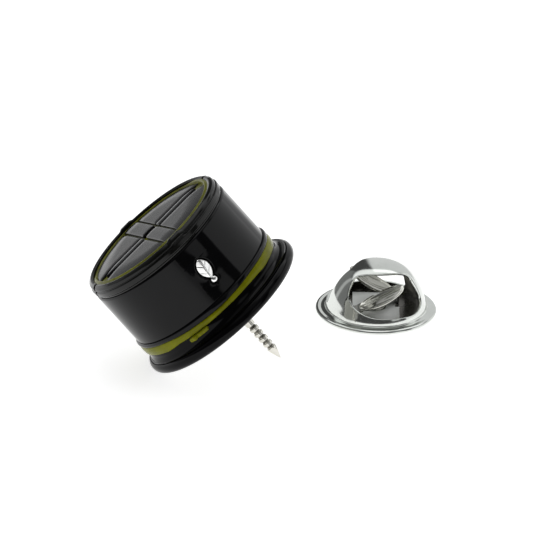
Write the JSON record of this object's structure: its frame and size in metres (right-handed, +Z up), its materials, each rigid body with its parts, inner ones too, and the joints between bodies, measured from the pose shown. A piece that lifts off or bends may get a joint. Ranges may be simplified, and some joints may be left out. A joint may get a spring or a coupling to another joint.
{
  "type": "enamel pin",
  "caption": "Lapel pin shaped as a small round black hat with an olive band and a silver badge, on a grooved post, with its domed spring clutch beside it.",
  "frame": {"origin": "on the table, under the middle of the whole arrangement's box", "axes": "+Z up from the table; +X from the hat towards the clutch as seen from the front; -Y towards the viewer"},
  "size_m": [0.0338, 0.0282, 0.0187],
  "materials": {
    "plated_casting": "bright nickel plate over die-cast zinc",
    "plated_back": "nickel plate, lightly brushed",
    "black_enamel": "thick glossy black enamel",
    "crown_enamel": "glossy black enamel, slightly greyer, moulded",
    "olive_enamel": "glossy yellow-olive enamel",
    "badge_silver": "polished silver plate with a relief",
    "post_nickel": "bright nickel plate",
    "clutch_nickel": "bright nickel plate over pressed brass",
    "spring_nickel": "nickel-plated spring strip"
  },
  "bodies": {
    "pin": {"hat_casting": "plated_casting", "back_plate": "plated_back", "brim": "black_enamel", "hat_band": "olive_enamel", "band_welt": "black_enamel", "side_wall_enamel": "black_enamel", "badge": "badge_silver", "crown_floor": "olive_enamel", "crown_pad_front_left": "crown_enamel", "crown_pad_front_right": "crown_enamel", "crown_pad_back_left": "crown_enamel", "crown_pad_back_right": "crown_enamel", "crown_ridge_left": "crown_enamel", "crown_ridge_right": "crown_enamel", "crown_strap_front": "crown_enamel", "crown_strap_back": "crown_enamel", "crown_rim_front": "black_enamel", "crown_rim_back": "black_enamel", "post": "post_nickel"},
    "clutch": {"clutch_shell": "clutch_nickel", "clutch_base_plate": "clutch_nickel", "clutch_eyelet": "clutch_nickel", "spring_foot": "spring_nickel"},
    "front_wing": {"finger_wing_front": "spring_nickel"},
    "back_wing": {"finger_wing_back": "spring_nickel"}
  },
  "joints": [
    {"name": "clutch_lift", "type": "slide", "parent": "pin", "child": "clutch", "axis": [0, 0, 1], "range_m": [0, 0.02]},
    {"name": "front_wing_press", "type": "hinge", "parent": "clutch", "child": "front_wing", "pos_m": [0.00903, 0.00602, 0.00065], "axis": [0, 1, 0], "range_deg": [0, 10], "stiffness_Nm_per_rad": 0.01},
    {"name": "back_wing_press", "type": "hinge", "parent": "clutch", "child": "back_wing", "pos_m": [0.01283, 0.01022, 0.00065], "axis": [0, -1, 0], "range_deg": [0, 10], "stiffness_Nm_per_rad": 0.01}
  ]
}
